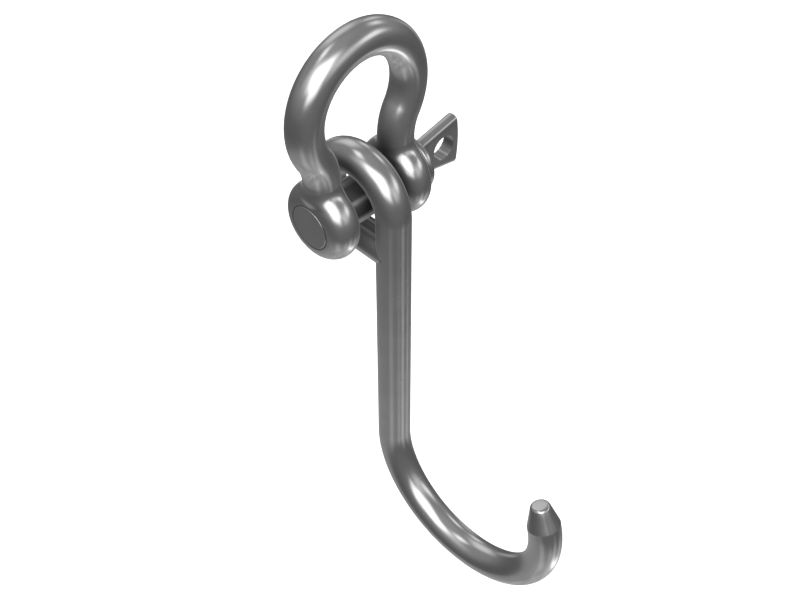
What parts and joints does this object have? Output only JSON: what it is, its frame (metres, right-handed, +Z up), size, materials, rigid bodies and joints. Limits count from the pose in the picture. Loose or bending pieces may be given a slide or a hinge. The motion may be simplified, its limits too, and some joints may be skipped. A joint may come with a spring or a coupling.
{
  "type": "meat hook",
  "caption": "Round-rod J hook with a closed eye, hung in a bow shackle. The hook swings on the shackle's screw pin, and the pin draws out by its flat pierced head.",
  "frame": {"origin": "inside top of the shackle's bow, the saddle that rides on a rail or ring", "axes": "+Z up, +Y along the pin towards its flat head, +X the way the hook opens"},
  "size_m": [0.0929, 0.0575, 0.1702],
  "materials": {
    "bow_steel": "polished forged stainless steel, neutral grey",
    "pin_steel": "polished forged stainless steel, neutral grey",
    "hook_steel": "polished stainless steel rod, fine lengthwise grain on the shank"
  },
  "bodies": {
    "shackle_bow": {"shackle_bow": "bow_steel"},
    "screw_pin": {"screw_pin": "pin_steel"},
    "hook": {"hook": "hook_steel"}
  },
  "joints": [
    {"name": "hook_swing", "type": "hinge", "parent": "shackle_bow", "child": "hook", "pos_m": [0, 0, -0.0422], "axis": [0, 1, 0], "range_deg": [-150, 180]},
    {"name": "pin_draw", "type": "slide", "parent": "shackle_bow", "child": "screw_pin", "axis": [0, 1, 0], "range_m": [0, 0.0365]}
  ]
}
